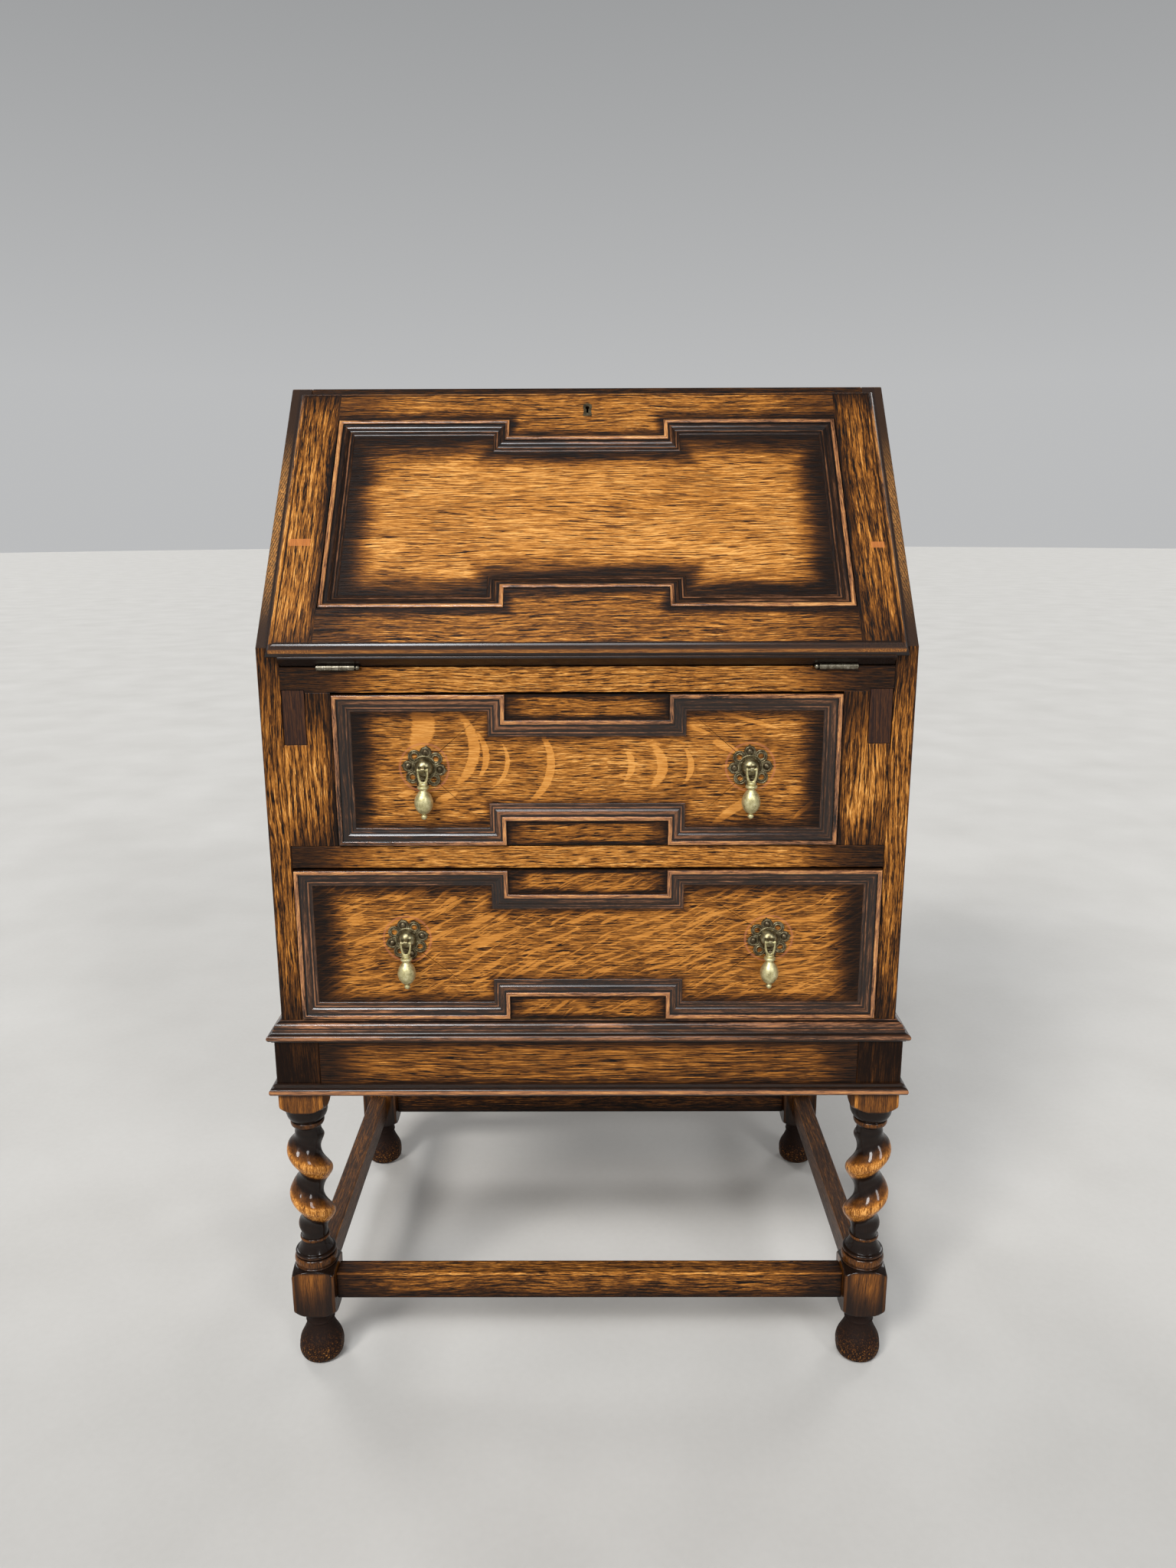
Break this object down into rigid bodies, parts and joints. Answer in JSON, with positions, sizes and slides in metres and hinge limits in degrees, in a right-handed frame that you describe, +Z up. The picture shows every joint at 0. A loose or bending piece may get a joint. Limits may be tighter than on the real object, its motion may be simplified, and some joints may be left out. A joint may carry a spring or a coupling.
{
  "type": "secretary desk",
  "caption": "Drop-front oak writing desk with jogged mouldings, drawers with drop handles and pull-out fall supports, on barley-twist legs joined by stretchers.",
  "frame": {"origin": "on the floor, at the centre of the whole object's box seen from above", "axes": "+Z up, front faces -Y, +X to the right seen from the front"},
  "size_m": [0.6376, 0.4418, 1.0119],
  "materials": {
    "oak": "polished",
    "oak_moulding": "polished, worn edges",
    "inner_wood": "unpolished",
    "aged_brass": "aged satin",
    "dark_brass": "aged, nearly black",
    "steel": "brushed"
  },
  "bodies": {
    "desk": {"apron_bead": "oak_moulding", "back_panel": "inner_wood", "bottom_board": "inner_wood", "drawer_runners": "inner_wood", "drawer_stops": "inner_wood", "frieze_front": "oak", "frieze_rear": "oak", "frieze_sides": "oak", "front_stiles": "oak", "hinge_leaves_rail": "aged_brass", "hinge_pins": "aged_brass", "hinge_screws_rail": "aged_brass", "leg_front_left": "oak", "leg_front_right": "oak", "leg_rear_left": "oak", "leg_rear_right": "oak", "loper_bearers": "inner_wood", "loper_guide_strips": "inner_wood", "mid_rail": "oak", "pigeonholes": "inner_wood", "side_panel_left": "oak", "side_panel_right": "oak", "stretcher_front": "oak", "stretcher_rear": "oak", "stretcher_sides": "oak", "strike_plate": "aged_brass", "top_board": "oak", "top_rail": "oak", "waist_moulding": "oak_moulding", "writing_bed": "oak"},
    "fall": {"fall_stiles": "oak", "fall_rail_top": "oak", "fall_rail_bottom": "oak", "fall_panel": "oak", "fall_moulding": "oak_moulding", "hinge_leaves_fall": "aged_brass", "hinge_screws_fall": "aged_brass", "escutcheon": "aged_brass", "lock_case": "steel"},
    "lock_bolt": {"lock_bolt": "steel"},
    "loper_left": {"loper_left": "oak", "loper_peg_left": "oak"},
    "loper_right": {"loper_right": "oak", "loper_peg_right": "oak"},
    "upper_drawer": {"upper_drawer_front": "oak", "upper_drawer_moulding": "oak_moulding", "upper_drawer_carcase": "inner_wood", "upper_drawer_bottom": "inner_wood", "upper_backplates": "dark_brass", "upper_handle_posts": "aged_brass"},
    "upper_pull_left": {"upper_pull_left": "aged_brass"},
    "upper_pull_right": {"upper_pull_right": "aged_brass"},
    "lower_drawer": {"lower_drawer_front": "oak", "lower_drawer_moulding": "oak_moulding", "lower_drawer_carcase": "inner_wood", "lower_drawer_bottom": "inner_wood", "lower_backplates": "dark_brass", "lower_handle_posts": "aged_brass"},
    "lower_pull_left": {"lower_pull_left": "aged_brass"},
    "lower_pull_right": {"lower_pull_right": "aged_brass"}
  },
  "joints": [
    {"name": "fall_hinge", "type": "hinge", "parent": "desk", "child": "fall", "pos_m": [0, -0.20457, 0.7483], "axis": [1, 0, 0], "range_deg": [0, 128.66]},
    {"name": "lock_bolt_slide", "type": "slide", "parent": "fall", "child": "lock_bolt", "axis": [0, 0.6248, 0.7807], "range_m": [0, 0.0065]},
    {"name": "loper_left_slide", "type": "slide", "parent": "desk", "child": "loper_left", "axis": [0, -1, 0], "range_m": [0, 0.25]},
    {"name": "loper_right_slide", "type": "slide", "parent": "desk", "child": "loper_right", "axis": [0, -1, 0], "range_m": [0, 0.25]},
    {"name": "upper_drawer_slide", "type": "slide", "parent": "desk", "child": "upper_drawer", "axis": [0, -1, 0], "range_m": [0, 0.28]},
    {"name": "lower_drawer_slide", "type": "slide", "parent": "desk", "child": "lower_drawer", "axis": [0, -1, 0], "range_m": [0, 0.28]},
    {"name": "upper_pull_left_swing", "type": "hinge", "parent": "upper_drawer", "child": "upper_pull_left", "pos_m": [-0.1537, -0.21227, 0.653], "axis": [-1, 0, 0], "range_deg": [-3, 80]},
    {"name": "upper_pull_right_swing", "type": "hinge", "parent": "upper_drawer", "child": "upper_pull_right", "pos_m": [0.1537, -0.21227, 0.653], "axis": [-1, 0, 0], "range_deg": [-3, 80]},
    {"name": "lower_pull_left_swing", "type": "hinge", "parent": "lower_drawer", "child": "lower_pull_left", "pos_m": [-0.1765, -0.21227, 0.4815], "axis": [-1, 0, 0], "range_deg": [-3, 80]},
    {"name": "lower_pull_right_swing", "type": "hinge", "parent": "lower_drawer", "child": "lower_pull_right", "pos_m": [0.1765, -0.21227, 0.4815], "axis": [-1, 0, 0], "range_deg": [-3, 80]}
  ]
}
